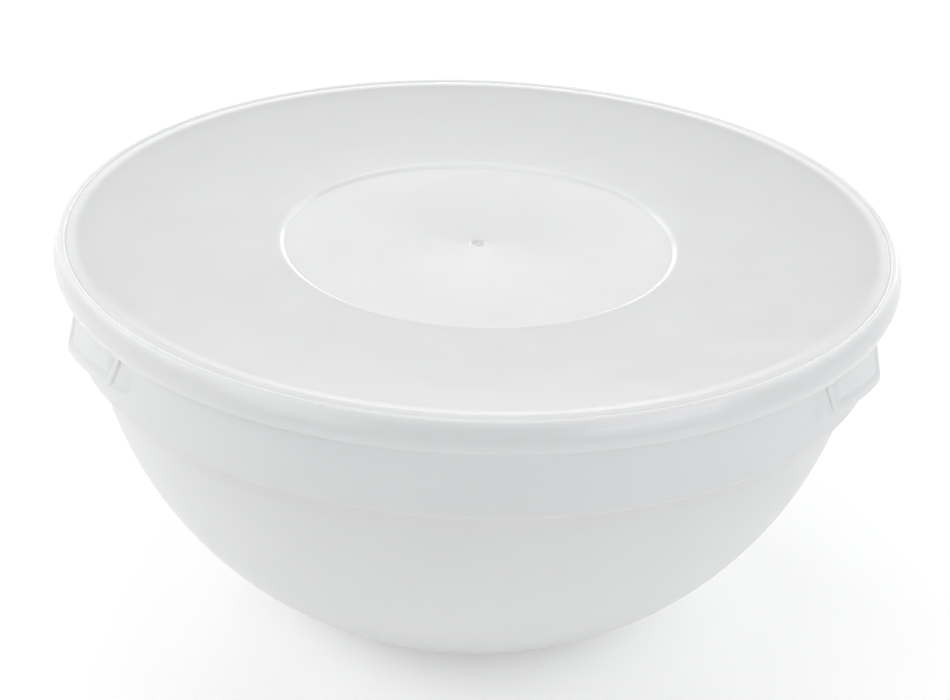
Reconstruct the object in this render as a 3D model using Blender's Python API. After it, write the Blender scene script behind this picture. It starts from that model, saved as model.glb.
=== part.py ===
"""Large round plastic bowl with a lid that closes over its rim.

Metres, +Z up. The origin is the middle of the bowl's foot, on the surface that the bowl stands on.
The bowl is one thin-walled moulding: a round body, a straight band above a shoulder, a flanged rim and
four grip lugs under the rim, a pair beside each end of the X axis. The lid is a second moulding: a
shallow dish with a sunk disc in its middle, a raised edge and a skirt that reaches down over the rim.
"""
import math

import bmesh
import bpy
from mathutils import Vector

# Foot and round body of the bowl: the body's outer side is one arc from the foot to the shoulder
FOOT_RADIUS = 0.0600
FOOT_ROUND = 0.0030
BODY_ARC_RADIUS = 0.1535
BOWL_WALL = 0.0019

# Straight band above the shoulder, which overhangs the round body
BAND_TOP_RADIUS = 0.1626
BAND_TAPER = 0.0006
BAND_HEIGHT = 0.0419
SHOULDER_OVERHANG = 0.00665
SHOULDER_ROUND = 0.0040
SHOULDER_FILLET = 0.0020
BAND_BOTTOM_RADIUS = BAND_TOP_RADIUS - BAND_TAPER
SHOULDER_BODY_RADIUS = BAND_BOTTOM_RADIUS - SHOULDER_OVERHANG

# Rim: the wall steps outwards under the lid's skirt and ends in a rounded edge
RIM_HEIGHT = 0.1579
RIM_STEP_WIDTH = 0.0028
RIM_STEP_HEIGHT = 0.0024
RIM_STEP_DROP = 0.0057
RIM_STEP_ROUND = 0.0012
RIM_ROUND = 0.0008
RIM_RADIUS = BAND_TOP_RADIUS + RIM_STEP_WIDTH
SHOULDER_HEIGHT = RIM_HEIGHT - BAND_HEIGHT

# Grip lugs: wedges that grow out of the band towards their lower edge
LUG_CENTRE_ANGLE = math.radians(23.8)
LUG_WIDTH = 0.0532
LUG_SIDE_LEAN = 0.0060
LUG_FLARE_DROP = 0.0129
LUG_FLARE_ANGLE = math.radians(11.5)
LUG_SHOULDER_GAP = 0.0041
LUG_BOTTOM_RISE = 0.0087
LUG_CORNER = 0.0040
LUG_EDGE_ROUND = 0.0008
LUG_BORDER = 0.0024
LUG_BORDER_SLOPE = 0.0008
LUG_FACE_RECESS = 0.0005
LUG_ROOT = 0.0012
LUG_TOP_SINK = 0.0020
LUG_POCKET_HEIGHT = 0.0100
LUG_SHELL = 0.0013
LUG_BACKING = 0.0003
LUG_FLARE_START = RIM_HEIGHT - LUG_FLARE_DROP
LUG_TOP = LUG_FLARE_START + LUG_TOP_SINK
LUG_LOW_SIDE_HEIGHT = SHOULDER_HEIGHT + LUG_SHOULDER_GAP
LUG_HIGH_SIDE_HEIGHT = LUG_LOW_SIDE_HEIGHT + LUG_BOTTOM_RISE

# Lid: plate, raised edge and groove
LID_WALL = 0.0016
SEAT_GAP = 0.0003
LID_OVERHANG = 0.0026
BEAD_WIDTH = 0.0022
BEAD_RISE = 0.0005
BEAD_ROUND = 0.0009
GROOVE_WIDTH = 0.0008
GROOVE_DEPTH = 0.0004
LID_RADIUS = RIM_RADIUS + LID_OVERHANG

# Lid: a soft slope leads from the flat ring down to the shallow dish, with a sunk disc in its middle
RING_WIDTH = 0.0065
RING_ROUND = 0.0180
SLOPE_WIDTH = 0.0040
SLOPE_DROP = 0.0005
DISC_RADIUS = 0.0799
DISH_DROP = 0.0042
DISC_EDGE_WIDTH = 0.0014
DISC_EDGE_ROUND = 0.0007
DISC_RECESS = 0.0008
DISH_STRAIGHT_SHARE = 0.15
RING_INNER_RADIUS = LID_RADIUS - RING_WIDTH
DISH_RADIUS = RING_INNER_RADIUS - SLOPE_WIDTH

# Lid: skirt, measured outwards from the lid's top edge and downwards from its crest
SKIRT_FLARE = 0.0015
SKIRT_FLARE_DROP = 0.0038
SKIRT_BULGE = 0.0026
SKIRT_BULGE_DROP = 0.0078
SKIRT_BULGE_ROUND = 0.0060
SKIRT_EDGE_FLARE = 0.0004
SKIRT_DROP = 0.0131
SKIRT_EDGE_ROUND = 0.0008
LIP_CLEARANCE = 0.0004
LIP_HEIGHT = 0.0018

# Fineness of the faceted solids
TURN_STEPS = 72
BODY_STEPS = 9
DISH_STEPS = 6
ROUND_STEPS = 2
LUG_ROUND_STEPS = 3
MERGE_DISTANCE = 0.00001
CUT_OVERRUN = 0.0030
SHARP_ANGLE = math.radians(35.0)

# Colours and finish of the two mouldings
BOWL_COLOUR = (0.84, 0.85, 0.85, 1.0)
BOWL_ROUGHNESS = 0.42
LID_COLOUR = (0.88, 0.88, 0.88, 1.0)
LID_ROUGHNESS = 0.32


def clear_scene():
    for item in list(bpy.data.objects):
        bpy.data.objects.remove(item, do_unlink=True)


def plastic(name, colour, roughness):
    material = bpy.data.materials.new(name)
    material.use_nodes = True
    shader = material.node_tree.nodes["Principled BSDF"]
    shader.inputs["Base Color"].default_value = colour
    shader.inputs["Roughness"].default_value = roughness
    shader.inputs["Metallic"].default_value = 0.0
    material.diffuse_color = colour
    return material


def rounded_corner(before, corner, after, radius, steps):
    """Points of an arc that rounds the corner between two straight runs."""
    to_before = (before - corner).normalized()
    to_after = (after - corner).normalized()
    half_angle = to_before.angle(to_after) / 2
    reach = radius / math.tan(half_angle)
    room = min((before - corner).length, (after - corner).length) / 2
    reach = min(reach, room)
    fitted_radius = reach * math.tan(half_angle)
    centre = corner + (to_before + to_after).normalized() * (fitted_radius / math.sin(half_angle))
    start = corner + to_before * reach - centre
    end = corner + to_after * reach - centre
    sweep = start.angle_signed(end)
    points = []
    for step in range(steps + 1):
        turn = -sweep * step / steps
        points.append(centre + Vector((
            start.x * math.cos(turn) - start.y * math.sin(turn),
            start.x * math.sin(turn) + start.y * math.cos(turn))))
    return points


def rounded_path(path, steps, closed=False):
    """Turns (across, up, rounding radius) corners into a line of points."""
    corners = [Vector((across, up)) for across, up, _ in path]
    count = len(corners)
    points = []
    for index, (_, _, radius) in enumerate(path):
        inside = closed or 0 < index < count - 1
        if radius and inside:
            before = corners[index - 1]
            after = corners[(index + 1) % count]
            points += rounded_corner(before, corners[index], after, radius, steps)
        else:
            points.append(corners[index])
    return points


def finish_mesh(name, bm, material):
    bmesh.ops.remove_doubles(bm, verts=bm.verts, dist=MERGE_DISTANCE)
    bmesh.ops.recalc_face_normals(bm, faces=bm.faces)
    mesh = bpy.data.meshes.new(name)
    bm.to_mesh(mesh)
    bm.free()
    mesh.shade_smooth()
    mesh.set_sharp_from_angle(angle=SHARP_ANGLE)
    item = bpy.data.objects.new(name, mesh)
    bpy.context.collection.objects.link(item)
    if material:
        mesh.materials.append(material)
    return item


def turned(name, outline, material):
    """Spins an outline that starts and ends on the Z axis into one closed body."""
    bm = bmesh.new()
    verts = [bm.verts.new((point.x, 0, point.y)) for point in outline]
    edges = [bm.edges.new(pair) for pair in zip(verts, verts[1:])]
    bmesh.ops.spin(bm, geom=verts + edges, cent=(0, 0, 0), axis=(0, 0, 1),
                   angle=math.tau, steps=TURN_STEPS, use_merge=True, use_duplicate=False)
    return finish_mesh(name, bm, material)


# Bowl

def body_arc_centre():
    """Centre of the body's arc, which runs from the foot's edge up to the shoulder."""
    foot = Vector((FOOT_RADIUS, 0))
    shoulder = Vector((SHOULDER_BODY_RADIUS, SHOULDER_HEIGHT))
    chord = shoulder - foot
    reach = math.sqrt(BODY_ARC_RADIUS ** 2 - (chord.length / 2) ** 2)
    towards_axis = Vector((-chord.y, chord.x)).normalized()
    return (foot + shoulder) / 2 + towards_axis * reach


def body_radius(height, inset):
    """Radius of the round body at a height, on a surface that lies inset inside its outer side."""
    centre = body_arc_centre()
    return centre.x + math.sqrt((BODY_ARC_RADIUS - inset) ** 2 - (centre.y - height) ** 2)


def body_arc(low, high, inset):
    """Points along the body's side from one height to another, at equal steps round the arc."""
    centre = body_arc_centre()
    radius = BODY_ARC_RADIUS - inset
    start = math.asin((low - centre.y) / radius)
    end = math.asin((high - centre.y) / radius)
    points = []
    for step in range(BODY_STEPS + 1):
        angle = start + (end - start) * step / BODY_STEPS
        points.append((centre.x + radius * math.cos(angle), centre.y + radius * math.sin(angle), 0))
    return points


def band_radius(height):
    """Outer radius of the slightly tapered band between the shoulder and the rim."""
    share = (height - SHOULDER_HEIGHT) / (RIM_HEIGHT - SHOULDER_HEIGHT)
    return BAND_BOTTOM_RADIUS + (BAND_TOP_RADIUS - BAND_BOTTOM_RADIUS) * share


def bowl_outline():
    fillet_start = SHOULDER_HEIGHT - SHOULDER_FILLET
    step_top = RIM_HEIGHT - RIM_STEP_DROP
    step_bottom = step_top - RIM_STEP_HEIGHT
    step_angle = math.atan2(RIM_RADIUS - band_radius(step_bottom), RIM_STEP_HEIGHT)
    step_rise = BOWL_WALL * math.tan(step_angle / 2)
    inner_shoulder = SHOULDER_HEIGHT + BOWL_WALL
    outside = [
        (0, 0, 0),
        (FOOT_RADIUS, 0, FOOT_ROUND),
        *body_arc(0, fillet_start, 0)[1:],
        (body_radius(SHOULDER_HEIGHT, 0), SHOULDER_HEIGHT, SHOULDER_FILLET),
        (BAND_BOTTOM_RADIUS, SHOULDER_HEIGHT, SHOULDER_ROUND),
        (band_radius(step_bottom), step_bottom, RIM_STEP_ROUND),
        (RIM_RADIUS, step_top, RIM_STEP_ROUND),
        (RIM_RADIUS, RIM_HEIGHT, RIM_ROUND),
    ]
    inside = [
        (RIM_RADIUS - BOWL_WALL, RIM_HEIGHT, RIM_ROUND),
        (RIM_RADIUS - BOWL_WALL, step_top + step_rise, RIM_STEP_ROUND),
        (band_radius(step_bottom) - BOWL_WALL, step_bottom + step_rise, RIM_STEP_ROUND),
        (BAND_BOTTOM_RADIUS - BOWL_WALL, inner_shoulder, SHOULDER_FILLET),
        (body_radius(inner_shoulder, BOWL_WALL), inner_shoulder, SHOULDER_FILLET),
        *reversed(body_arc(BOWL_WALL, inner_shoulder - SHOULDER_FILLET, BOWL_WALL)),
        (0, BOWL_WALL, 0),
    ]
    return rounded_path(outside + inside, ROUND_STEPS)


def lug_corners(inset, top, bottom_drop):
    """Corners of a lug's outline as (along the band, height, rounding), drawn in by inset.

    The side at negative distances lies nearest the X axis and reaches lowest. The other side leans
    away from that axis towards the top.
    """
    half = LUG_WIDTH / 2
    lean = LUG_SIDE_LEAN * (top - LUG_HIGH_SIDE_HEIGHT) / (LUG_TOP - LUG_HIGH_SIDE_HEIGHT)
    raw = [Vector((-half, LUG_LOW_SIDE_HEIGHT - bottom_drop)),
           Vector((half, LUG_HIGH_SIDE_HEIGHT - bottom_drop)),
           Vector((half + lean, top)),
           Vector((-half, top))]
    rounding = max(LUG_CORNER - inset, LUG_EDGE_ROUND)
    corners = []
    for index, corner in enumerate(raw):
        into = (corner - raw[index - 1]).normalized()
        out = (raw[(index + 1) % len(raw)] - corner).normalized()
        inward = Vector((-into.y, into.x)) + Vector((-out.y, out.x))
        shift = inward / (1 + into.dot(out))
        moved = corner + shift * inset
        corners.append((moved.x, moved.y, rounding))
    return corners


def lug_ring(bm, side, corners, radius_at):
    """One loop of a lug: an outline laid on the surface whose radius is radius_at(height)."""
    mirror_x, mirror_y = side
    loop = []
    for point in rounded_path(corners, LUG_ROUND_STEPS, closed=True):
        angle = LUG_CENTRE_ANGLE + point.x / BAND_BOTTOM_RADIUS
        radius = radius_at(point.y)
        place = (mirror_x * radius * math.cos(angle), mirror_y * radius * math.sin(angle), point.y)
        loop.append(bm.verts.new(place))
    return loop


def lug_face_radius(height, sink):
    """Radius of the lug's sloping front at a height, sunk below the border's crest."""
    return band_radius(height) + math.tan(LUG_FLARE_ANGLE) * (LUG_FLARE_START - height) - sink


def loops_to_solid(name, bm, loops):
    """Joins equal loops one to the next and closes both ends."""
    for first, second in zip(loops, loops[1:]):
        count = len(first)
        for index in range(count):
            following = (index + 1) % count
            bm.faces.new((first[index], first[following], second[following], second[index]))
    for loop in (loops[0], loops[-1]):
        bm.faces.new(loop)
    bmesh.ops.triangulate(bm, faces=[face for face in bm.faces if len(face.verts) > 4])
    return finish_mesh(name, bm, None)


def lug_solid(side):
    bm = bmesh.new()
    border_end = LUG_EDGE_ROUND + LUG_BORDER
    face_start = border_end + LUG_BORDER_SLOPE
    profile = [
        (0, lambda height: band_radius(height) - LUG_ROOT),
        (0, lambda height: lug_face_radius(height, LUG_EDGE_ROUND)),
        (LUG_EDGE_ROUND, lambda height: lug_face_radius(height, 0)),
        (border_end, lambda height: lug_face_radius(height, 0)),
        (face_start, lambda height: lug_face_radius(height, LUG_FACE_RECESS)),
    ]
    loops = [lug_ring(bm, side, lug_corners(inset, LUG_TOP, 0), radius_at) for inset, radius_at in profile]
    return loops_to_solid("lug", bm, loops)


def lug_pocket(side):
    """Cutter for the wedge-shaped hollow inside a lug, open at the lug's lower edge."""
    bm = bmesh.new()
    top = LUG_LOW_SIDE_HEIGHT + LUG_POCKET_HEIGHT
    corners = lug_corners(LUG_SHELL, top, LUG_SHELL + CUT_OVERRUN)
    sink = LUG_FACE_RECESS + LUG_SHELL
    loops = [
        lug_ring(bm, side, corners, lambda height: band_radius(height) + LUG_BACKING),
        lug_ring(bm, side, corners, lambda height: lug_face_radius(height, sink)),
    ]
    return loops_to_solid("lug_pocket", bm, loops)


def apply_boolean(item, cutter, operation):
    modifier = item.modifiers.new(operation.lower(), "BOOLEAN")
    modifier.object = cutter
    modifier.operation = operation
    modifier.solver = "EXACT"
    depsgraph = bpy.context.evaluated_depsgraph_get()
    result = bpy.data.meshes.new_from_object(item.evaluated_get(depsgraph))
    item.modifiers.clear()
    old = item.data
    item.data = result
    bpy.data.meshes.remove(old)
    bpy.data.objects.remove(cutter, do_unlink=True)


def make_bowl():
    bowl = turned("bowl", bowl_outline(), plastic("bowl_plastic", BOWL_COLOUR, BOWL_ROUGHNESS))
    for side in ((1, 1), (-1, 1), (-1, -1), (1, -1)):
        apply_boolean(bowl, lug_solid(side), "UNION")
        apply_boolean(bowl, lug_pocket(side), "DIFFERENCE")
    bowl.data.name = "bowl"
    return bowl


# Lid

def dish_height(radius, disc_edge):
    """Height of the dish's top surface, which gets steeper from the disc out to the slope."""
    share = (radius - DISC_RADIUS) / (DISH_RADIUS - DISC_RADIUS)
    return disc_edge + DISH_DROP * (DISH_STRAIGHT_SHARE * share + (1 - DISH_STRAIGHT_SHARE) * share ** 2)


def dish_points(disc_edge):
    points = []
    for step in range(1, DISH_STEPS):
        radius = DISC_RADIUS + (DISH_RADIUS - DISC_RADIUS) * step / DISH_STEPS
        points.append((radius, dish_height(radius, disc_edge), 0))
    return points


def lid_outline():
    ring_top = RIM_HEIGHT + SEAT_GAP + LID_WALL
    ring_bottom = ring_top - LID_WALL
    crest = ring_top + BEAD_RISE
    slope_foot = ring_top - SLOPE_DROP
    disc_edge = slope_foot - DISH_DROP
    disc_top = disc_edge - DISC_RECESS
    bead_inner = LID_RADIUS - BEAD_WIDTH
    groove_inner = bead_inner - GROOVE_WIDTH
    flare_radius = LID_RADIUS + SKIRT_FLARE
    bulge_radius = LID_RADIUS + SKIRT_BULGE
    lip_radius = RIM_RADIUS + LIP_CLEARANCE
    skirt_bottom = crest - SKIRT_DROP
    under_slope = LID_WALL * math.tan(math.atan2(SLOPE_DROP, SLOPE_WIDTH) / 2)
    top = [
        (0, disc_top, 0),
        (DISC_RADIUS - DISC_EDGE_WIDTH, disc_top, DISC_EDGE_ROUND),
        (DISC_RADIUS, disc_edge, DISC_EDGE_ROUND),
        *dish_points(disc_edge),
        (DISH_RADIUS, slope_foot, 0),
        (RING_INNER_RADIUS, ring_top, RING_ROUND),
        (groove_inner, ring_top, 0),
        (groove_inner + GROOVE_WIDTH / 2, ring_top - GROOVE_DEPTH, 0),
        (bead_inner, crest, BEAD_ROUND),
        (LID_RADIUS, crest, BEAD_ROUND),
    ]
    skirt = [
        (flare_radius, crest - SKIRT_FLARE_DROP, 0),
        (bulge_radius, crest - SKIRT_BULGE_DROP, SKIRT_BULGE_ROUND),
        (LID_RADIUS + SKIRT_EDGE_FLARE, skirt_bottom, SKIRT_EDGE_ROUND),
        (lip_radius, skirt_bottom, SKIRT_EDGE_ROUND),
        (lip_radius, skirt_bottom + LIP_HEIGHT, 0),
        (bulge_radius - LID_WALL, crest - SKIRT_BULGE_DROP, 0),
        (flare_radius - LID_WALL, crest - SKIRT_FLARE_DROP - LID_WALL / 2, 0),
    ]
    underside = [
        (LID_RADIUS - LID_WALL, ring_bottom, 0),
        (RING_INNER_RADIUS + under_slope, ring_bottom, RING_ROUND),
        (DISH_RADIUS + under_slope, slope_foot - LID_WALL, 0),
        *[(radius, height - LID_WALL, 0) for radius, height, _ in reversed(dish_points(disc_edge))],
        (DISC_RADIUS + LID_WALL / 2, disc_edge - LID_WALL, 0),
        (DISC_RADIUS - DISC_EDGE_WIDTH + LID_WALL / 2, disc_top - LID_WALL, 0),
        (0, disc_top - LID_WALL, 0),
    ]
    return rounded_path(top + skirt + underside, ROUND_STEPS)


def make_lid():
    return turned("lid", lid_outline(), plastic("lid_plastic", LID_COLOUR, LID_ROUGHNESS))


def main():
    clear_scene()
    make_bowl()
    make_lid()


main()
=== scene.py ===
"""Looks of the large round plastic bowl with its lid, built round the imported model.

Metres, +Z up, origin in the middle of the bowl's foot. Both mouldings are turned again with fine
outlines, the grip lugs get soft sides and edges, and cloudy white plastic covers everything. The main
sizes repeat those of the solids, and the model stays inside their box.
"""
import math

import bmesh
import bpy
from mathutils import Matrix, Vector


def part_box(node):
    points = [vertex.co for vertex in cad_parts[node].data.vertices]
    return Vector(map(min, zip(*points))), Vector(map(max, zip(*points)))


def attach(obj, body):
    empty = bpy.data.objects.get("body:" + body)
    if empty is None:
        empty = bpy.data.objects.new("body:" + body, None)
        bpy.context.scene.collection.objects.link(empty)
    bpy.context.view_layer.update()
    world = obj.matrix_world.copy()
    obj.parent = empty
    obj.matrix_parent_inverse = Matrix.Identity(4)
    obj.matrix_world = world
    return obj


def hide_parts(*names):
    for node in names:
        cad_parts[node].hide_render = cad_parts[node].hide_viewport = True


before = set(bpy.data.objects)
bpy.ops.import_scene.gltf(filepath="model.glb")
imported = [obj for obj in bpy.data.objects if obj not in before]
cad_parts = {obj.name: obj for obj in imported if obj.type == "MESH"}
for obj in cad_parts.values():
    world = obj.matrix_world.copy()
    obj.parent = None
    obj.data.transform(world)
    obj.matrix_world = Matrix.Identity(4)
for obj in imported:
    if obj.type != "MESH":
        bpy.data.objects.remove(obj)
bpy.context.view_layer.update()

# Bowl: foot, round body and wall
FOOT_RADIUS = 0.0600
FOOT_ROUND = 0.0030
BODY_ARC_RADIUS = 0.1535
BOWL_WALL = 0.0019

# Bowl: straight band above the shoulder
BAND_TOP_RADIUS = 0.1626
BAND_TAPER = 0.0006
BAND_HEIGHT = 0.0419
SHOULDER_OVERHANG = 0.00665
SHOULDER_ROUND = 0.0040
SHOULDER_FILLET = 0.0060
INNER_SHOULDER_FILLET = 0.0020

# Bowl: rim
RIM_HEIGHT = 0.1579
RIM_STEP_WIDTH = 0.0028
RIM_STEP_HEIGHT = 0.0024
RIM_STEP_DROP = 0.0057
RIM_STEP_ROUND = 0.0012
RIM_ROUND = 0.0008

BAND_BOTTOM_RADIUS = BAND_TOP_RADIUS - BAND_TAPER
SHOULDER_BODY_RADIUS = BAND_BOTTOM_RADIUS - SHOULDER_OVERHANG
SHOULDER_HEIGHT = RIM_HEIGHT - BAND_HEIGHT
RIM_RADIUS = BAND_TOP_RADIUS + RIM_STEP_WIDTH

# Grip lugs
LUG_CENTRE_ANGLE = math.radians(23.8)
LUG_WIDTH = 0.0532
LUG_SIDE_LEAN = 0.0060
LUG_FLARE_DROP = 0.0129
LUG_FLARE_ANGLE = math.radians(11.5)
LUG_SHOULDER_GAP = 0.0041
LUG_BOTTOM_RISE = 0.0087
LUG_CORNER = 0.0040
LUG_EDGE_ROUND = 0.0011
LUG_BORDER = 0.0017
LUG_BORDER_SLOPE = 0.0020
LUG_FACE_FADE = 0.0060
LUG_FACE_RECESS = 0.0013
LUG_PILLOW_SHARE = 0.7
LUG_ROOT = 0.0012
LUG_SIDE_SPREAD = 0.0100
LUG_SEAM = 0.0001
LUG_TOP_SINK = 0.0020
LUG_POCKET_HEIGHT = 0.0100
LUG_SHELL = 0.0013
LUG_BACKING = 0.0003
LUG_FLARE_START = RIM_HEIGHT - LUG_FLARE_DROP
LUG_TOP = LUG_FLARE_START + LUG_TOP_SINK
LUG_LOW_SIDE_HEIGHT = SHOULDER_HEIGHT + LUG_SHOULDER_GAP
LUG_HIGH_SIDE_HEIGHT = LUG_LOW_SIDE_HEIGHT + LUG_BOTTOM_RISE
CUT_OVERRUN = 0.0030

# Lid: wall, raised edge, groove, flat ring, slope, dish and sunk disc
LID_WALL = 0.0016
SEAT_GAP = 0.0003
LID_OVERHANG = 0.0026
BEAD_WIDTH = 0.0022
BEAD_RISE = 0.0005
BEAD_ROUND = 0.0009
GROOVE_WIDTH = 0.0010
GROOVE_DEPTH = 0.0006
GROOVE_ROUND = 0.0003
RING_WIDTH = 0.0065
RING_ROUND = 0.0180
SLOPE_WIDTH = 0.0040
SLOPE_DROP = 0.0005
SLOPE_FOOT_ROUND = 0.0600
DISC_RADIUS = 0.0799
DISH_DROP = 0.0042
DISC_EDGE_WIDTH = 0.0014
DISC_FOOT_ROUND = 0.0002
DISC_RECESS = 0.0008
DISC_WALL_WIDTH = 0.0015
DISC_WALL_HEIGHT = 0.0009
DISC_LIP_ROUND = 0.0008
DISC_BROW_WIDTH = 0.0030
DISC_BROW_ROUND = 0.0030
DISH_STRAIGHT_SHARE = 0.35
LID_RADIUS = RIM_RADIUS + LID_OVERHANG
RING_INNER_RADIUS = LID_RADIUS - RING_WIDTH
DISH_RADIUS = RING_INNER_RADIUS - SLOPE_WIDTH

# Lid: skirt
SKIRT_FLARE = 0.0015
SKIRT_FLARE_DROP = 0.0038
SKIRT_FLARE_ROUND = 0.0030
SKIRT_BULGE = 0.0026
SKIRT_BULGE_DROP = 0.0078
SKIRT_BULGE_ROUND = 0.0070
SKIRT_EDGE_FLARE = 0.0004
SKIRT_DROP = 0.0131
SKIRT_EDGE_ROUND = 0.0008
LIP_CLEARANCE = 0.0004
LIP_HEIGHT = 0.0018
LID_CREST = RIM_HEIGHT + SEAT_GAP + LID_WALL + BEAD_RISE
DISC_DROP = BEAD_RISE + SLOPE_DROP + DISH_DROP + DISC_RECESS

# Lid: the mark that the mould's gate left in the middle of the disc
GATE_RADIUS = 0.0034
GATE_DEPTH = 0.0009
GATE_NUB_RADIUS = 0.0010
GATE_NUB_RISE = 0.0003
GATE_ROUND = 0.0008

# Fineness of the meshes
TURN_STEPS = 360
BODY_STEPS = 56
DISH_STEPS = 24
ROUND_STEPS = 6
LUG_ROUND_STEPS = 8
LUG_EDGE_STEPS = 4
LUG_FACE_STEPS = 8
LUG_SIDE_STEPS = 8
LUG_SPACING = 0.0016
MERGE_DISTANCE = 0.000005
SHARP_ANGLE = math.radians(40.0)

# Plastic: colours from light to dark clouds, the range of the roughness, and the noise that drives them
BOWL_LIGHT_COLOUR = (0.935, 0.94, 0.94, 1)
BOWL_DARK_COLOUR = (0.905, 0.91, 0.915, 1)
BOWL_ROUGHNESS = (0.34, 0.46)
LID_LIGHT_COLOUR = (0.87, 0.875, 0.88, 1)
LID_DARK_COLOUR = (0.85, 0.855, 0.86, 1)
LID_ROUGHNESS = (0.20, 0.262)
CLOUDS = {"Scale": 22.0, "Detail": 3.0, "Roughness": 0.55}
SHEEN = {"Scale": 60.0, "Detail": 4.0, "Roughness": 0.6}
SHEEN_NOISE = (0.35, 0.65)
GRAIN = {"Scale": 2600.0, "Detail": 2.0, "Roughness": 0.5}
GRAIN_BUMP = {"Strength": 0.10, "Distance": 0.0001}
WAVES = {"Scale": 28.0, "Detail": 1.0, "Roughness": 0.4}
WAVE_BUMP = {"Strength": 0.30, "Distance": 0.0006}
PLASTIC_IOR = 1.49
SCATTER_SHARE = 0.25
SCATTER_DEPTH = 0.004

# Painted light and shade: tones that multiply the plastic's colour from zone to zone, and where they
# change
PLAIN_TONE = (1.0, 1.0, 1.0)
# Lid: painted highlight on the disc's wall and on the ring, painted shade across the dish, deepest next
# to the ring, and on the skirt
DISC_WALL_PAINTED_HIGHLIGHT_TONE = (1.05, 1.05, 1.05)
DISH_INNER_PAINTED_SHADE_TONE = (0.945, 0.945, 0.945)
DISH_OUTER_PAINTED_SHADE_TONE = (0.885, 0.885, 0.885)
DISH_EDGE_PAINTED_SHADE_TONE = (0.855, 0.855, 0.855)
DISH_PAINTED_SHADE_WIDTH = 0.0080
RING_PAINTED_LIGHT_TONE = (1.05, 1.05, 1.05)
SKIRT_PAINTED_SHADE_TONE = (0.955, 0.955, 0.955)
# Bowl: painted light low on the body in place of light from the floor, and painted shade deepening up to
# its darkest, a little warm, just under the shoulder
BODY_LOW_HEIGHT = 0.0330
BODY_MIDDLE_HEIGHT = 0.0600
BODY_LOW_PAINTED_LIGHT_TONE = (1.030, 1.030, 1.026)
BODY_MIDDLE_TONE = (0.976, 0.976, 0.974)
BODY_TOP_PAINTED_SHADE_TONE = (0.910, 0.910, 0.908)
SHOULDER_PAINTED_SHADE_TONE = (0.868, 0.864, 0.853)
SHOULDER_PAINTED_SHADE_DROP = 0.0110
BAND_TONE = (0.915, 0.916, 0.918)
RIM_TONE = (0.935, 0.936, 0.938)

# Camera: found by fitting the lid's rings and the bowl's outline in the photograph
PHOTO_WIDTH_PIXELS = 950.0
SENSOR_WIDTH_MM = 36.0
FOCAL_PIXELS = 3000.0
CAMERA_DISTANCE = 1.2107
CAMERA_ELEVATION = math.radians(23.891)
CAMERA_ROLL = math.radians(-2.1236)
AIM_RIGHT_PIXELS = -0.561
AIM_UP_PIXELS = -120.79

# Floor
FLOOR_SIZE = 9.0
FLOOR_DEPTH = 0.0002
FLOOR_COLOUR = (0.92, 0.92, 0.92, 1)
FLOOR_ROUGHNESS = 0.9
FLOOR_SHINE = 0.1
FLOOR_GLOW = 0.25

# Light of the white room, its strength where it is seen, and the lamps' colours, distance and aim
WHITE = (1, 1, 1, 1)
ROOM_LIGHT = 0.36
BACKDROP_LIGHT = 1.0
NEUTRAL_LIGHT = (1.0, 1.0, 1.0)
COOL_LIGHT = (0.975, 0.985, 1.0)
LAMP_DISTANCE = 1.5
LAMP_TARGET_HEIGHT = 0.10

# Soft lamps: name, azimuth from the back to the right and elevation in degrees, size, power and colour
LAMPS = [
    ("back", 0, 13, (1.2, 0.4), 3.0, NEUTRAL_LIGHT),
    ("back_right", 30, 11, (0.7, 0.4), 2.8, COOL_LIGHT),
    ("front_right", 135, 9, (1.0, 0.35), 3.7, COOL_LIGHT),
    ("front_left", 225, 9, (1.0, 0.35), 2.6, COOL_LIGHT),
    ("low_left", 270, 18, (1.0, 0.5), 1.3, NEUTRAL_LIGHT),
    ("left", 270, 30, (0.9, 0.6), 4.7, NEUTRAL_LIGHT),
    ("right", 90, 30, (0.9, 0.6), 2.9, COOL_LIGHT),
    ("high_back_left", 330, 33, (0.35, 0.35), 1.2, NEUTRAL_LIGHT),
    ("high_back_right", 30, 33, (0.35, 0.35), 1.0, COOL_LIGHT),
    ("top", 0, 90, (1.0, 1.0), 5.0, NEUTRAL_LIGHT),
]


def rounded_corner(before, corner, after, radius, steps):
    """Points of an arc that rounds the corner between two straight runs."""
    to_before = (before - corner).normalized()
    to_after = (after - corner).normalized()
    half_angle = to_before.angle(to_after) / 2
    room = min((before - corner).length, (after - corner).length) / 2
    reach = min(radius / math.tan(half_angle), room)
    fitted_radius = reach * math.tan(half_angle)
    centre = corner + (to_before + to_after).normalized() * (fitted_radius / math.sin(half_angle))
    start = corner + to_before * reach - centre
    end = corner + to_after * reach - centre
    sweep = start.angle_signed(end)
    points = []
    for step in range(steps + 1):
        turn = -sweep * step / steps
        points.append(centre + Vector((
            start.x * math.cos(turn) - start.y * math.sin(turn),
            start.x * math.sin(turn) + start.y * math.cos(turn))))
    return points


def rounded_path(path, steps, closed=False):
    """Turns (across, up, rounding radius) corners into a line of points."""
    corners = [Vector((across, up)) for across, up, _ in path]
    count = len(corners)
    points = []
    for index, (_, _, radius) in enumerate(path):
        inside = closed or 0 < index < count - 1
        if radius and inside:
            before = corners[index - 1]
            after = corners[(index + 1) % count]
            points += rounded_corner(before, corners[index], after, radius, steps)
        else:
            points.append(corners[index])
    return points


def finish_mesh(name, bm, material):
    """Turns a mesh in the making into an object, smooth apart from its sharp edges."""
    bmesh.ops.remove_doubles(bm, verts=bm.verts, dist=MERGE_DISTANCE)
    bmesh.ops.recalc_face_normals(bm, faces=bm.faces)
    mesh = bpy.data.meshes.new(name)
    bm.to_mesh(mesh)
    bm.free()
    mesh.shade_smooth()
    mesh.set_sharp_from_angle(angle=SHARP_ANGLE)
    item = bpy.data.objects.new(name, mesh)
    bpy.context.collection.objects.link(item)
    if material:
        mesh.materials.append(material)
    return item


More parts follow.
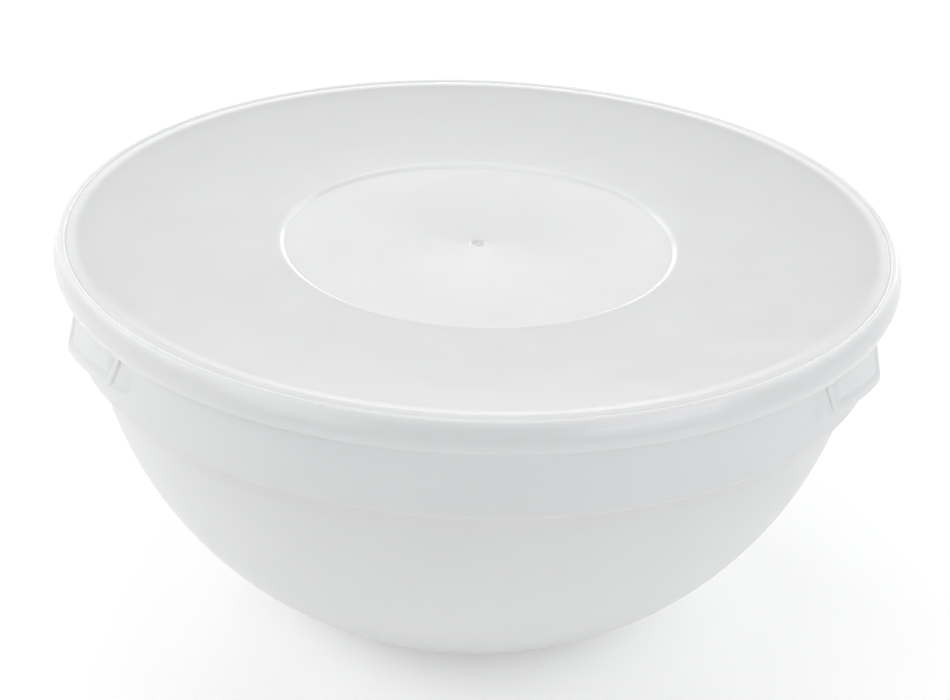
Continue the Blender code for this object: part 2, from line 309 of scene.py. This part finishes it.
def turned(name, outline, material):
    """Spins an outline that starts and ends on the Z axis into one closed body."""
    bm = bmesh.new()
    verts = [bm.verts.new((point.x, 0, point.y)) for point in outline]
    edges = [bm.edges.new(pair) for pair in zip(verts, verts[1:])]
    bmesh.ops.spin(bm, geom=verts + edges, cent=(0, 0, 0), axis=(0, 0, 1),
                   angle=math.tau, steps=TURN_STEPS, use_merge=True, use_duplicate=False)
    return finish_mesh(name, bm, material)


# Shape of the bowl

def body_arc_centre():
    """Centre of the body's arc, which runs from the foot's edge up to the shoulder."""
    foot = Vector((FOOT_RADIUS, 0))
    shoulder = Vector((SHOULDER_BODY_RADIUS, SHOULDER_HEIGHT))
    chord = shoulder - foot
    reach = math.sqrt(BODY_ARC_RADIUS ** 2 - (chord.length / 2) ** 2)
    towards_axis = Vector((-chord.y, chord.x)).normalized()
    return (foot + shoulder) / 2 + towards_axis * reach


def body_radius(height, inset):
    centre = body_arc_centre()
    return centre.x + math.sqrt((BODY_ARC_RADIUS - inset) ** 2 - (centre.y - height) ** 2)


def body_arc(low, high, inset):
    centre = body_arc_centre()
    radius = BODY_ARC_RADIUS - inset
    start = math.asin((low - centre.y) / radius)
    end = math.asin((high - centre.y) / radius)
    points = []
    for step in range(BODY_STEPS + 1):
        angle = start + (end - start) * step / BODY_STEPS
        points.append((centre.x + radius * math.cos(angle), centre.y + radius * math.sin(angle), 0))
    return points


def band_radius(height):
    share = (height - SHOULDER_HEIGHT) / (RIM_HEIGHT - SHOULDER_HEIGHT)
    return BAND_BOTTOM_RADIUS + (BAND_TOP_RADIUS - BAND_BOTTOM_RADIUS) * share


def bowl_outline():
    fillet_start = SHOULDER_HEIGHT - SHOULDER_FILLET
    step_top = RIM_HEIGHT - RIM_STEP_DROP
    step_bottom = step_top - RIM_STEP_HEIGHT
    step_angle = math.atan2(RIM_RADIUS - band_radius(step_bottom), RIM_STEP_HEIGHT)
    step_rise = BOWL_WALL * math.tan(step_angle / 2)
    inner_shoulder = SHOULDER_HEIGHT + BOWL_WALL
    outside = [
        (0, 0, 0),
        (FOOT_RADIUS, 0, FOOT_ROUND),
        *body_arc(0, fillet_start, 0)[1:],
        (body_radius(SHOULDER_HEIGHT, 0), SHOULDER_HEIGHT, SHOULDER_FILLET),
        (BAND_BOTTOM_RADIUS, SHOULDER_HEIGHT, SHOULDER_ROUND),
        (band_radius(step_bottom), step_bottom, RIM_STEP_ROUND),
        (RIM_RADIUS, step_top, RIM_STEP_ROUND),
        (RIM_RADIUS, RIM_HEIGHT, RIM_ROUND),
    ]
    inside = [
        (RIM_RADIUS - BOWL_WALL, RIM_HEIGHT, RIM_ROUND),
        (RIM_RADIUS - BOWL_WALL, step_top + step_rise, RIM_STEP_ROUND),
        (band_radius(step_bottom) - BOWL_WALL, step_bottom + step_rise, RIM_STEP_ROUND),
        (BAND_BOTTOM_RADIUS - BOWL_WALL, inner_shoulder, INNER_SHOULDER_FILLET),
        (body_radius(inner_shoulder, BOWL_WALL), inner_shoulder, INNER_SHOULDER_FILLET),
        *reversed(body_arc(BOWL_WALL, inner_shoulder - INNER_SHOULDER_FILLET, BOWL_WALL)),
        (0, BOWL_WALL, 0),
    ]
    return rounded_path(outside + inside, ROUND_STEPS)


def lug_corners(inset, top, bottom_drop):
    """Corners of a lug's outline as (along the band, height, rounding), drawn in by inset."""
    half = LUG_WIDTH / 2
    lean = LUG_SIDE_LEAN * (top - LUG_HIGH_SIDE_HEIGHT) / (LUG_TOP - LUG_HIGH_SIDE_HEIGHT)
    raw = [Vector((-half, LUG_LOW_SIDE_HEIGHT - bottom_drop)),
           Vector((half, LUG_HIGH_SIDE_HEIGHT - bottom_drop)),
           Vector((half + lean, top)),
           Vector((-half, top))]
    rounding = max(LUG_CORNER - inset, LUG_EDGE_ROUND)
    corners = []
    for index, corner in enumerate(raw):
        into = (corner - raw[index - 1]).normalized()
        out = (raw[(index + 1) % len(raw)] - corner).normalized()
        inward = Vector((-into.y, into.x)) + Vector((-out.y, out.x))
        moved = corner + inward / (1 + into.dot(out)) * inset
        corners.append((moved.x, moved.y, rounding))
    return corners


def spaced(points, counts):
    """Splits the runs between a closed outline's points, so that long ones can follow the band."""
    result = []
    for index, point in enumerate(points):
        following = points[(index + 1) % len(points)]
        for step in range(counts[index]):
            result.append(point.lerp(following, step / counts[index]))
    return result


def outline_points(corners, counts):
    return spaced(rounded_path(corners, LUG_ROUND_STEPS, closed=True), counts)


def run_counts(corners):
    """How many pieces each run of an outline is split into."""
    points = rounded_path(corners, LUG_ROUND_STEPS, closed=True)
    runs = zip(points, points[1:] + points[:1])
    return [max(1, round((following - point).length / LUG_SPACING)) for point, following in runs]


def lug_loop(bm, side, points, radius_at):
    """Wraps flat points round the band where a lug sits, each at the radius that radius_at gives."""
    mirror_x, mirror_y = side
    loop = []
    for point in points:
        angle = LUG_CENTRE_ANGLE + point.x / BAND_BOTTOM_RADIUS
        radius = radius_at(point)
        place = (mirror_x * radius * math.cos(angle), mirror_y * radius * math.sin(angle), point.y)
        loop.append(bm.verts.new(place))
    return loop


def lug_face_radius(height, sink):
    """Radius of the lug's sloping front at a height, sunk below the ribs' crest."""
    return band_radius(height) + math.tan(LUG_FLARE_ANGLE) * (LUG_FLARE_START - height) - sink


def ease(share):
    """Soft start and end between 0 and 1."""
    return share * share * (3 - 2 * share)


def sunk_share(point):
    """Share of the face's recess at a point: none along the lower edge, all of it further up."""
    across = (point.x + LUG_WIDTH / 2) / LUG_WIDTH
    lower_edge = LUG_LOW_SIDE_HEIGHT + LUG_BOTTOM_RISE * across
    return ease(min(max((point.y - lower_edge - LUG_EDGE_ROUND) / LUG_FACE_FADE, 0.0), 1.0))


def join_loops(bm, loops):
    """Joins equal loops one to the next and closes both ends."""
    for first, second in zip(loops, loops[1:]):
        count = len(first)
        for index in range(count):
            following = (index + 1) % count
            bm.faces.new((first[index], first[following], second[following], second[index]))
    ends = [bm.faces.new(loop) for loop in (loops[0], loops[-1])]
    bmesh.ops.triangulate(bm, faces=ends)


def lug_profile():
    """(inset, sink, recess) across the lug's edge: side, rounded edge, rib and recessed face."""
    profile = []
    for step in range(LUG_EDGE_STEPS + 1):
        angle = math.pi / 2 * step / LUG_EDGE_STEPS
        inset = LUG_EDGE_ROUND * (1 - math.cos(angle))
        sink = LUG_EDGE_ROUND * (1 - math.sin(angle))
        profile.append((inset, sink, 0.0))
    border_end = LUG_EDGE_ROUND + LUG_BORDER
    for step in range(LUG_EDGE_STEPS + 1):
        share = step / LUG_EDGE_STEPS
        profile.append((border_end + LUG_BORDER_SLOPE * share, 0.0, LUG_FACE_RECESS * ease(share)))
    return profile


def side_rows(bm, side, counts):
    """Loops from inside the band out to the lug's edge; both upright sides flow out of the band."""
    edge = outline_points(lug_corners(0, LUG_TOP, 0), counts)
    widest = 1 + LUG_SIDE_SPREAD * 2 / LUG_WIDTH
    root = [Vector((point.x * widest, point.y)) for point in edge]
    rows = [lug_loop(bm, side, root, lambda point: band_radius(point.y) - LUG_ROOT)]
    for step in range(LUG_SIDE_STEPS):
        share = step / LUG_SIDE_STEPS
        widening = widest + (1 - widest) * share
        points = [Vector((point.x * widening, point.y)) for point in edge]
        rise = ease(share)

        def radius_at(point):
            foot = band_radius(point.y) - LUG_SEAM
            return foot + (lug_face_radius(point.y, LUG_EDGE_ROUND) - foot) * rise

        rows.append(lug_loop(bm, side, points, radius_at))
    return rows


def face_rows(bm, side, counts):
    """Loops that carry the recessed face on towards the lug's middle, where it swells a little."""
    first_inset, _, recess = lug_profile()[-1]
    last_inset = (LUG_TOP - LUG_HIGH_SIDE_HEIGHT) / 2 - LUG_SPACING
    rows = []
    for step in range(1, LUG_FACE_STEPS + 1):
        share = step / LUG_FACE_STEPS
        left = recess * (1 - LUG_PILLOW_SHARE * math.sin(math.pi / 2 * share))
        inset = first_inset + (last_inset - first_inset) * share
        points = outline_points(lug_corners(inset, LUG_TOP, 0), counts)
        rows.append(lug_loop(bm, side, points,
                             lambda point: lug_face_radius(point.y, left * sunk_share(point))))
    return rows


def lug_solid(name, side, material):
    bm = bmesh.new()
    counts = run_counts(lug_corners(0, LUG_TOP, 0))
    loops = side_rows(bm, side, counts)
    for inset, sink, recess in lug_profile():
        points = outline_points(lug_corners(inset, LUG_TOP, 0), counts)
        loops.append(lug_loop(bm, side, points,
                              lambda point: lug_face_radius(point.y, sink + recess * sunk_share(point))))
    loops += face_rows(bm, side, counts)
    join_loops(bm, loops)
    return finish_mesh(name, bm, material)


def lug_pocket(side):
    """Cutter for the wedge-shaped hollow inside a lug, open at the lug's lower edge."""
    bm = bmesh.new()
    corners = lug_corners(LUG_SHELL, LUG_LOW_SIDE_HEIGHT + LUG_POCKET_HEIGHT, LUG_SHELL + CUT_OVERRUN)
    points = outline_points(corners, run_counts(corners))
    sink = LUG_FACE_RECESS + LUG_SHELL
    join_loops(bm, [
        lug_loop(bm, side, points, lambda point: band_radius(point.y) + LUG_BACKING),
        lug_loop(bm, side, points, lambda point: lug_face_radius(point.y, sink))])
    return finish_mesh("lug_pocket", bm, None)


def cut(item, cutter):
    """Takes the cutter out of the item for good."""
    modifier = item.modifiers.new("cut", "BOOLEAN")
    modifier.object = cutter
    modifier.operation = "DIFFERENCE"
    modifier.solver = "EXACT"
    depsgraph = bpy.context.evaluated_depsgraph_get()
    result = bpy.data.meshes.new_from_object(item.evaluated_get(depsgraph))
    item.modifiers.clear()
    item.data = result
    result.name = item.name
    result.set_sharp_from_angle(angle=SHARP_ANGLE)
    bpy.data.objects.remove(cutter, do_unlink=True)


# Shape of the lid

def dish_height(radius, disc_edge):
    """Height of the dish's top surface, which gets steeper from the disc out to the slope."""
    share = (radius - DISC_RADIUS) / (DISH_RADIUS - DISC_RADIUS)
    return disc_edge + DISH_DROP * (DISH_STRAIGHT_SHARE * share + (1 - DISH_STRAIGHT_SHARE) * share ** 2)


def dish_points(disc_edge):
    points = []
    for step in range(1, DISH_STEPS):
        radius = DISC_RADIUS + (DISH_RADIUS - DISC_RADIUS) * step / DISH_STEPS
        points.append((radius, dish_height(radius, disc_edge), 0))
    return points


def lid_outline():
    ring_top = RIM_HEIGHT + SEAT_GAP + LID_WALL
    ring_bottom = ring_top - LID_WALL
    crest = ring_top + BEAD_RISE
    slope_foot = ring_top - SLOPE_DROP
    disc_edge = slope_foot - DISH_DROP
    disc_top = disc_edge - DISC_RECESS
    disc_foot = DISC_RADIUS - DISC_EDGE_WIDTH
    brow_end = disc_foot + DISC_WALL_WIDTH + DISC_BROW_WIDTH
    bead_inner = LID_RADIUS - BEAD_WIDTH
    groove_inner = bead_inner - GROOVE_WIDTH
    flare_radius = LID_RADIUS + SKIRT_FLARE
    bulge_radius = LID_RADIUS + SKIRT_BULGE
    lip_radius = RIM_RADIUS + LIP_CLEARANCE
    skirt_bottom = crest - SKIRT_DROP
    under_slope = LID_WALL * math.tan(math.atan2(SLOPE_DROP, SLOPE_WIDTH) / 2)
    gate = [
        (0, disc_top + GATE_NUB_RISE - GATE_DEPTH, 0),
        (GATE_NUB_RADIUS, disc_top + GATE_NUB_RISE - GATE_DEPTH, GATE_ROUND),
        (GATE_NUB_RADIUS, disc_top - GATE_DEPTH, GATE_ROUND),
        (GATE_RADIUS - GATE_ROUND, disc_top - GATE_DEPTH, GATE_ROUND),
        (GATE_RADIUS, disc_top, GATE_ROUND),
    ]
    top = [
        (disc_foot, disc_top, DISC_FOOT_ROUND),
        (disc_foot + DISC_WALL_WIDTH, disc_top + DISC_WALL_HEIGHT, DISC_LIP_ROUND),
        (brow_end, dish_height(brow_end, disc_edge), DISC_BROW_ROUND),
        *[point for point in dish_points(disc_edge) if point[0] > brow_end + DISC_BROW_WIDTH],
        (DISH_RADIUS, slope_foot, SLOPE_FOOT_ROUND),
        (RING_INNER_RADIUS, ring_top, RING_ROUND),
        (groove_inner, ring_top, GROOVE_ROUND),
        (groove_inner + GROOVE_WIDTH / 2, ring_top - GROOVE_DEPTH, GROOVE_ROUND),
        (bead_inner, crest, BEAD_ROUND),
        (LID_RADIUS, crest, BEAD_ROUND),
    ]
    skirt = [
        (flare_radius, crest - SKIRT_FLARE_DROP, SKIRT_FLARE_ROUND),
        (bulge_radius, crest - SKIRT_BULGE_DROP, SKIRT_BULGE_ROUND),
        (LID_RADIUS + SKIRT_EDGE_FLARE, skirt_bottom, SKIRT_EDGE_ROUND),
        (lip_radius, skirt_bottom, SKIRT_EDGE_ROUND),
        (lip_radius, skirt_bottom + LIP_HEIGHT, SKIRT_EDGE_ROUND),
        (bulge_radius - LID_WALL, crest - SKIRT_BULGE_DROP, SKIRT_EDGE_ROUND),
        (flare_radius - LID_WALL, crest - SKIRT_FLARE_DROP - LID_WALL / 2, 0),
    ]
    underside = [
        (LID_RADIUS - LID_WALL, ring_bottom, 0),
        (RING_INNER_RADIUS + under_slope, ring_bottom, RING_ROUND),
        (DISH_RADIUS + under_slope, slope_foot - LID_WALL, SLOPE_FOOT_ROUND),
        *[(radius, height - LID_WALL, 0) for radius, height, _ in reversed(dish_points(disc_edge))],
        (DISC_RADIUS + LID_WALL / 2, disc_edge - LID_WALL, 0),
        (DISC_RADIUS - DISC_EDGE_WIDTH + LID_WALL / 2, disc_top - LID_WALL, 0),
        (0, disc_top - LID_WALL, 0),
    ]
    return rounded_path(gate + top + skirt + underside, ROUND_STEPS)


# Materials

def new_material(name):
    material = bpy.data.materials.new(name)
    material.use_nodes = True
    material.node_tree.nodes.clear()
    return material


def add_node(material, kind, **values):
    """Adds a node and sets its inputs, or its own settings, by name."""
    node = material.node_tree.nodes.new(kind)
    for name, value in values.items():
        socket = node.inputs.get(name.replace("_", " "))
        if socket is not None:
            socket.default_value = value
        else:
            setattr(node, name, value)
    return node


def connect(material, source, output, target, socket):
    material.node_tree.links.new(source.outputs[output], target.inputs[socket])


def distance_out_and_down(material, place):
    """Distance from the axis plus the drop below the lid's crest, so it grows down the skirt as well."""
    flat = add_node(material, "ShaderNodeVectorMath", operation="MULTIPLY")
    flat.inputs[1].default_value = (1, 1, 0)
    radius = add_node(material, "ShaderNodeVectorMath", operation="LENGTH")
    parts = add_node(material, "ShaderNodeSeparateXYZ")
    drop = add_node(material, "ShaderNodeMath", operation="SUBTRACT")
    drop.inputs[0].default_value = LID_CREST
    total = add_node(material, "ShaderNodeMath", operation="ADD")
    connect(material, place, "Object", flat, 0)
    connect(material, flat, "Vector", radius, 0)
    connect(material, place, "Object", parts, "Vector")
    connect(material, parts, "Z", drop, 1)
    connect(material, radius, "Value", total, 0)
    connect(material, drop, "Value", total, 1)
    return total, "Value"


def height_above_foot(material, place):
    parts = add_node(material, "ShaderNodeSeparateXYZ")
    connect(material, place, "Object", parts, "Vector")
    return parts, "Z"


def paint_light_and_shade_by_place(material, measure, colour, zones):
    """Multiplies a colour by a tone that follows a measured distance, painting light and shade by place;
    zones are (distance, tone).
    """
    span = add_node(material, "ShaderNodeMapRange")
    span.inputs["From Max"].default_value = zones[-1][0]
    ramp = add_node(material, "ShaderNodeValToRGB")
    elements = ramp.color_ramp.elements
    while len(elements) < len(zones):
        elements.new(1.0)
    for element, (distance, tone) in zip(elements, zones):
        element.position = distance / zones[-1][0]
        element.color = (*tone, 1)
    shaded = add_node(material, "ShaderNodeMix", data_type="RGBA", blend_type="MULTIPLY")
    shaded.inputs["Factor"].default_value = 1.0
    node, output = measure
    connect(material, node, output, span, "Value")
    connect(material, span, "Result", ramp, "Fac")
    connect(material, colour, "Result", shaded, "A")
    connect(material, ramp, "Color", shaded, "B")
    return shaded


def cloudy_plastic(name, light, dark, roughness, measure, zones):
    """White polypropylene: cloudy, softly shining, with a fine moulded texture and slow unevenness.

    The plastic lets some light through, and tones from zone to zone paint light and shade onto its
    colour.
    """
    material = new_material(name)
    place = add_node(material, "ShaderNodeTexCoord")
    clouds = add_node(material, "ShaderNodeTexNoise", **CLOUDS)
    colour = add_node(material, "ShaderNodeMix", data_type="RGBA")
    colour.inputs["A"].default_value = light
    colour.inputs["B"].default_value = dark
    sheen_map = add_node(material, "ShaderNodeTexNoise", **SHEEN)
    sheen_range = add_node(material, "ShaderNodeMapRange")
    sheen_range.inputs["From Min"].default_value = SHEEN_NOISE[0]
    sheen_range.inputs["From Max"].default_value = SHEEN_NOISE[1]
    sheen_range.inputs["To Min"].default_value = roughness[0]
    sheen_range.inputs["To Max"].default_value = roughness[1]
    grain = add_node(material, "ShaderNodeTexNoise", **GRAIN)
    waves = add_node(material, "ShaderNodeTexNoise", **WAVES)
    grain_bump = add_node(material, "ShaderNodeBump", **GRAIN_BUMP)
    wave_bump = add_node(material, "ShaderNodeBump", **WAVE_BUMP)
    shader = add_node(material, "ShaderNodeBsdfPrincipled", IOR=PLASTIC_IOR)
    shader.inputs["Subsurface Weight"].default_value = SCATTER_SHARE
    shader.inputs["Subsurface Radius"].default_value = (1.0, 1.0, 1.0)
    shader.inputs["Subsurface Scale"].default_value = SCATTER_DEPTH
    output = add_node(material, "ShaderNodeOutputMaterial")
    for texture in (clouds, sheen_map, grain, waves):
        connect(material, place, "Object", texture, "Vector")
    connect(material, clouds, "Fac", colour, "Factor")
    connect(material, sheen_map, "Fac", sheen_range, "Value")
    connect(material, waves, "Fac", wave_bump, "Height")
    connect(material, grain, "Fac", grain_bump, "Height")
    connect(material, wave_bump, "Normal", grain_bump, "Normal")
    colour = paint_light_and_shade_by_place(material, measure(material, place), colour, zones)
    connect(material, colour, "Result", shader, "Base Color")
    connect(material, sheen_range, "Result", shader, "Roughness")
    connect(material, grain_bump, "Normal", shader, "Normal")
    connect(material, shader, "BSDF", output, "Surface")
    return material


def seen_ray(tree):
    """Socket that is 1 for the rays that show a surface to the camera, by gloss or through glass."""
    path = tree.nodes.new("ShaderNodeLightPath")
    first = tree.nodes.new("ShaderNodeMath")
    second = tree.nodes.new("ShaderNodeMath")
    for node in (first, second):
        node.operation = "MAXIMUM"
    tree.links.new(path.outputs["Is Camera Ray"], first.inputs[0])
    tree.links.new(path.outputs["Is Glossy Ray"], first.inputs[1])
    tree.links.new(first.outputs["Value"], second.inputs[0])
    tree.links.new(path.outputs["Is Transmission Ray"], second.inputs[1])
    return second.outputs["Value"]


def bowl_plastic():
    """Colour by height, painting light and shade: lightest near the foot, darkest and a little warmer
    under the shoulder.
    """
    zones = [
        (0, BODY_LOW_PAINTED_LIGHT_TONE),
        (BODY_LOW_HEIGHT, BODY_LOW_PAINTED_LIGHT_TONE),
        (BODY_MIDDLE_HEIGHT, BODY_MIDDLE_TONE),
        (SHOULDER_HEIGHT - SHOULDER_PAINTED_SHADE_DROP, BODY_TOP_PAINTED_SHADE_TONE),
        (SHOULDER_HEIGHT, SHOULDER_PAINTED_SHADE_TONE),
        (SHOULDER_HEIGHT + SHOULDER_ROUND, BAND_TONE),
        (RIM_HEIGHT, RIM_TONE),
    ]
    return cloudy_plastic("bowl_plastic", BOWL_LIGHT_COLOUR, BOWL_DARK_COLOUR, BOWL_ROUGHNESS,
                          height_above_foot, zones)


def lid_plastic():
    """Colour from the middle out and down, painting light and shade: darker in the dish and on the skirt
    than on disc and ring.
    """
    disc_foot = DISC_RADIUS - DISC_EDGE_WIDTH + DISC_DROP
    wall_end = disc_foot + DISC_WALL_WIDTH - DISC_WALL_HEIGHT
    dish_end = DISH_RADIUS + BEAD_RISE + SLOPE_DROP + SLOPE_WIDTH / 2
    ring_start = RING_INNER_RADIUS + BEAD_RISE + SLOPE_WIDTH / 4
    zones = [
        (0, PLAIN_TONE),
        (disc_foot, DISC_WALL_PAINTED_HIGHLIGHT_TONE),
        (wall_end, DISC_WALL_PAINTED_HIGHLIGHT_TONE),
        (wall_end + DISC_BROW_WIDTH / 2, DISH_INNER_PAINTED_SHADE_TONE),
        (dish_end - DISH_PAINTED_SHADE_WIDTH, DISH_OUTER_PAINTED_SHADE_TONE),
        (dish_end, DISH_EDGE_PAINTED_SHADE_TONE),
        (ring_start, RING_PAINTED_LIGHT_TONE),
        (LID_RADIUS, RING_PAINTED_LIGHT_TONE),
        (LID_RADIUS + SKIRT_FLARE_DROP, SKIRT_PAINTED_SHADE_TONE),
        (LID_RADIUS + SKIRT_DROP, SKIRT_PAINTED_SHADE_TONE),
    ]
    return cloudy_plastic("lid_plastic", LID_LIGHT_COLOUR, LID_DARK_COLOUR, LID_ROUGHNESS,
                          distance_out_and_down, zones)


def floor_material():
    """White floor that keeps the shadow, with some white added where it is seen."""
    material = new_material("floor_white")
    shader = add_node(material, "ShaderNodeBsdfPrincipled", Roughness=FLOOR_ROUGHNESS)
    shader.inputs["Base Color"].default_value = FLOOR_COLOUR
    shader.inputs["Specular IOR Level"].default_value = FLOOR_SHINE
    glow = add_node(material, "ShaderNodeEmission", Strength=FLOOR_GLOW)
    glow.inputs["Color"].default_value = WHITE
    nothing = add_node(material, "ShaderNodeEmission", Strength=0.0)
    choose = add_node(material, "ShaderNodeMixShader")
    both = add_node(material, "ShaderNodeAddShader")
    output = add_node(material, "ShaderNodeOutputMaterial")
    material.node_tree.links.new(seen_ray(material.node_tree), choose.inputs[0])
    connect(material, nothing, "Emission", choose, 1)
    connect(material, glow, "Emission", choose, 2)
    connect(material, shader, "BSDF", both, 0)
    connect(material, choose, "Shader", both, 1)
    connect(material, both, "Shader", output, "Surface")
    return material


# Pieces

def make_bowl(material):
    bowl = turned("bowl_shell", bowl_outline(), material)
    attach(bowl, "bowl")
    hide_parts("bowl")
    sides = {"front_right": (1, -1), "front_left": (-1, -1), "back_right": (1, 1), "back_left": (-1, 1)}
    for place, side in sides.items():
        lug = lug_solid("lug_" + place, side, material)
        cut(lug, lug_pocket(side))
        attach(lug, "bowl")


def make_lid(material):
    lid = turned("lid_shell", lid_outline(), material)
    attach(lid, "lid")
    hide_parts("lid")


# Stage

def make_floor():
    half = FLOOR_SIZE / 2
    bm = bmesh.new()
    corners = [(-half, -half), (half, -half), (half, half), (-half, half)]
    bm.faces.new([bm.verts.new((x, y, -FLOOR_DEPTH)) for x, y in corners])
    floor = finish_mesh("floor", bm, floor_material())


def area_light(name, place, target, size, power, colour):
    data = bpy.data.lights.new(name, "AREA")
    data.shape = "RECTANGLE"
    data.size, data.size_y = size
    data.energy = power
    data.color = colour
    lamp = bpy.data.objects.new(name, data)
    bpy.context.collection.objects.link(lamp)
    lamp.location = place
    lamp.rotation_euler = (target - place).to_track_quat("-Z", "Y").to_euler()
    lamp.visible_camera = False


def make_lights():
    """Sets the soft lamps all round, each at the same distance from the bowl's middle."""
    target = Vector((0, 0, LAMP_TARGET_HEIGHT))
    for name, azimuth, elevation, size, power, colour in LAMPS:
        turn = math.radians(azimuth)
        rise = math.radians(elevation)
        across = math.cos(rise)
        direction = Vector((math.sin(turn) * across, math.cos(turn) * across, math.sin(rise)))
        area_light(name, target + direction * LAMP_DISTANCE, target, size, power, colour)


def make_world():
    """White room whose light on the object is weaker than the white that is seen."""
    world = bpy.data.worlds.new("white_room")
    bpy.context.scene.world = world
    world.use_nodes = True
    tree = world.node_tree
    tree.nodes.clear()
    light = tree.nodes.new("ShaderNodeBackground")
    light.inputs["Strength"].default_value = ROOM_LIGHT
    backdrop = tree.nodes.new("ShaderNodeBackground")
    backdrop.inputs["Strength"].default_value = BACKDROP_LIGHT
    for background in (light, backdrop):
        background.inputs["Color"].default_value = WHITE
    choose = tree.nodes.new("ShaderNodeMixShader")
    output = tree.nodes.new("ShaderNodeOutputWorld")
    tree.links.new(seen_ray(tree), choose.inputs[0])
    tree.links.new(light.outputs["Background"], choose.inputs[1])
    tree.links.new(backdrop.outputs["Background"], choose.inputs[2])
    tree.links.new(choose.outputs["Shader"], output.inputs["Surface"])


def make_camera():
    """Places the camera where the photograph was taken, aimed a little below the middle of the lid."""
    data = bpy.data.cameras.new("camera")
    data.sensor_fit = "HORIZONTAL"
    data.sensor_width = SENSOR_WIDTH_MM
    data.lens = FOCAL_PIXELS * SENSOR_WIDTH_MM / PHOTO_WIDTH_PIXELS
    camera = bpy.data.objects.new("camera", data)
    bpy.context.collection.objects.link(camera)
    aim = Vector((0, 0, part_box("lid")[1].z))
    forward = Vector((0, math.cos(CAMERA_ELEVATION), -math.sin(CAMERA_ELEVATION)))
    right = Vector((1, 0, 0))
    up = right.cross(forward)
    pan = math.atan2(AIM_RIGHT_PIXELS, FOCAL_PIXELS)
    tilt = math.atan2(AIM_UP_PIXELS, FOCAL_PIXELS)
    panned_forward = forward * math.cos(pan) - right * math.sin(pan)
    panned_right = right * math.cos(pan) + forward * math.sin(pan)
    tilted_forward = panned_forward * math.cos(tilt) + up * math.sin(tilt)
    tilted_up = up * math.cos(tilt) - panned_forward * math.sin(tilt)
    rolled_right = panned_right * math.cos(CAMERA_ROLL) - tilted_up * math.sin(CAMERA_ROLL)
    rolled_up = tilted_up * math.cos(CAMERA_ROLL) + panned_right * math.sin(CAMERA_ROLL)
    axes = Matrix((rolled_right, rolled_up, -tilted_forward)).transposed()
    camera.matrix_world = Matrix.Translation(aim - forward * CAMERA_DISTANCE) @ axes.to_4x4()
    bpy.context.scene.camera = camera


def main():
    bpy.context.scene.view_settings.view_transform = "Standard"
    make_camera()
    make_bowl(bowl_plastic())
    make_lid(lid_plastic())
    make_floor()
    make_lights()
    make_world()


main()
